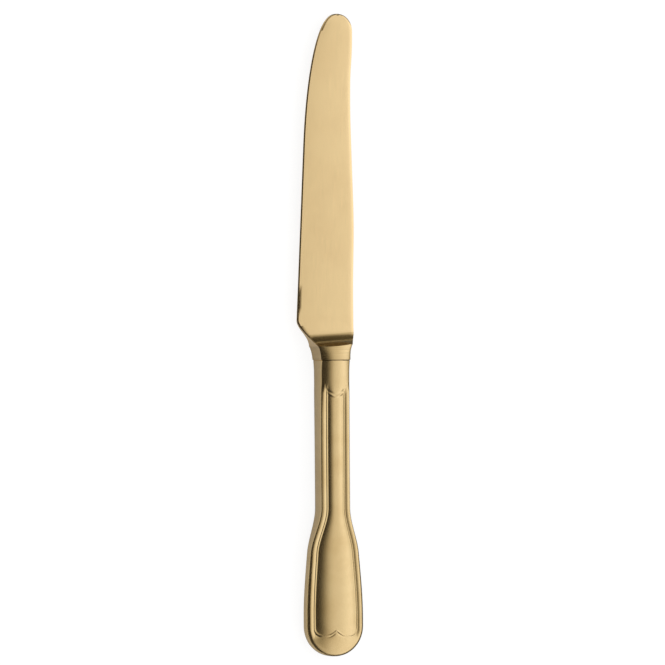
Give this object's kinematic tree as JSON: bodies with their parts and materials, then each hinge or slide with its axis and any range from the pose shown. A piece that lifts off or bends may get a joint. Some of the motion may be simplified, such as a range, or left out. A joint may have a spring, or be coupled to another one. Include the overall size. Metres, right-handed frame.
{
  "type": "table knife",
  "caption": "Table knife with a broad round-tipped blade, coved bolster and fiddle-shaped hollow handle edged with a double thread",
  "frame": {"origin": "centre of the bottom of the bounding box, on the sheet the knife lies on", "axes": "+Z out of the front face, +Y towards the tip, -X towards the cutting edge"},
  "size_m": [0.025, 0.2398, 0.0126],
  "materials": {
    "blade_steel": "gold-coloured, satin",
    "handle_steel": "gold-coloured, soft polish",
    "cement": "set cement"
  },
  "bodies": {
    "root": {"blade": "blade_steel", "handle_front": "handle_steel", "handle_back": "handle_steel", "filler": "cement"}
  },
  "joints": []
}
